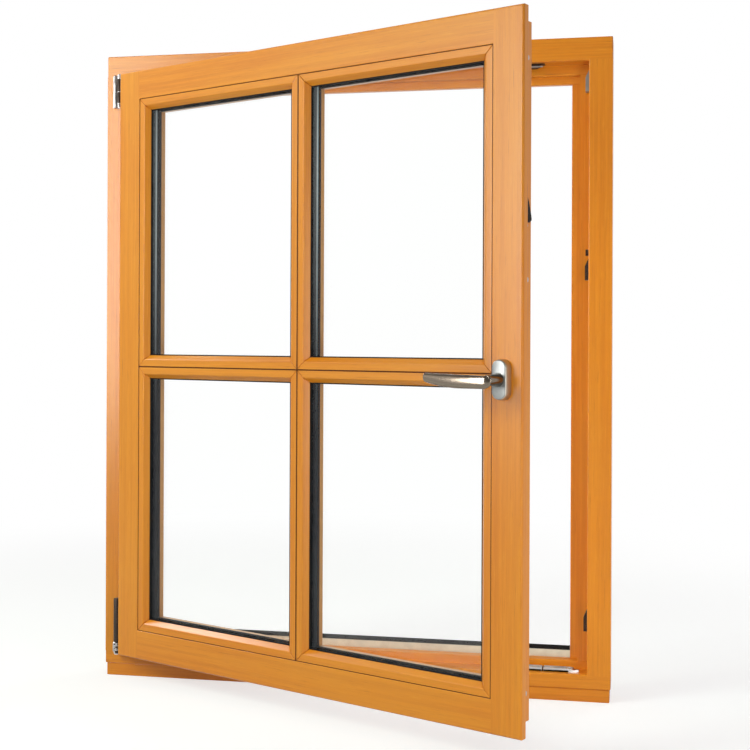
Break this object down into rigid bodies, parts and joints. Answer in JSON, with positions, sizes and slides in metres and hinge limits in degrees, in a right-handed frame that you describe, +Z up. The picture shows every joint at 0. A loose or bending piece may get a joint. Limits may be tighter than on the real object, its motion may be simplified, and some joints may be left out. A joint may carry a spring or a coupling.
{
  "type": "wooden window",
  "caption": "Side-hung wooden window, its sash standing open into a rebated frame, with panes divided by glazing bars and a lever handle.",
  "frame": {"origin": "middle of the underside of the base strip, halfway through the frame's depth", "axes": "+Z up, +X along the window from the hinge side to the lock side, +Y from the room to the outside"},
  "size_m": [1.006, 0.5329, 1.25],
  "materials": {
    "frame_wood": "honey lacquer",
    "sash_wood": "honey lacquer",
    "bead_wood": "honey lacquer",
    "clear_glass": "clear float glass",
    "spacer_black": "matt black spacer and sealant",
    "black_seal": "black seal",
    "bronze_aluminium": "light bronze anodised",
    "zinc_fittings": "zinc plated",
    "dark_fittings": "dark bronze",
    "satin_nickel": "satin nickel"
  },
  "bodies": {
    "frame": {"frame_head": "frame_wood", "frame_sill": "frame_wood", "hinge_jamb": "frame_wood", "lock_jamb": "frame_wood", "base_strip": "frame_wood", "rain_bar": "bronze_aluminium", "rain_bar_seal": "black_seal", "top_hinge_bearing": "zinc_fittings", "corner_bearing": "zinc_fittings", "lifter_roller": "dark_fittings", "head_striker": "dark_fittings", "tilt_striker": "zinc_fittings", "lower_striker": "dark_fittings", "middle_striker": "dark_fittings", "upper_striker": "zinc_fittings"},
    "sash": {"hinge_stile": "sash_wood", "lock_stile": "sash_wood", "sash_top_rail": "sash_wood", "sash_bottom_rail": "sash_wood", "vertical_bar": "sash_wood", "level_bar": "sash_wood", "lower_left_beads": "bead_wood", "lower_right_beads": "bead_wood", "upper_left_beads": "bead_wood", "upper_right_beads": "bead_wood", "lower_left_pane": "clear_glass", "lower_right_pane": "clear_glass", "upper_left_pane": "clear_glass", "upper_right_pane": "clear_glass", "lower_left_spacer": "spacer_black", "lower_right_spacer": "spacer_black", "upper_left_spacer": "spacer_black", "upper_right_spacer": "spacer_black", "inner_glazing_seals": "black_seal", "outer_glazing_seals": "black_seal", "lock_faceplate": "zinc_fittings", "sash_lifter": "dark_fittings", "top_hinge_band": "zinc_fittings", "corner_band": "dark_fittings", "handle_rosette": "satin_nickel"},
    "handle": {"handle_lever": "satin_nickel"}
  },
  "joints": [
    {"name": "sash_turn", "type": "hinge", "parent": "frame", "child": "sash", "pos_m": [-0.473, -0.0465, 0.629], "axis": [0, 0, -1], "range_deg": [-25, 65]},
    {"name": "handle_turn", "type": "hinge", "parent": "sash", "child": "handle", "pos_m": [0.34132, -0.4345, 0.616], "axis": [0.4226, 0.9063, 0], "range_deg": [-90, 90]}
  ]
}
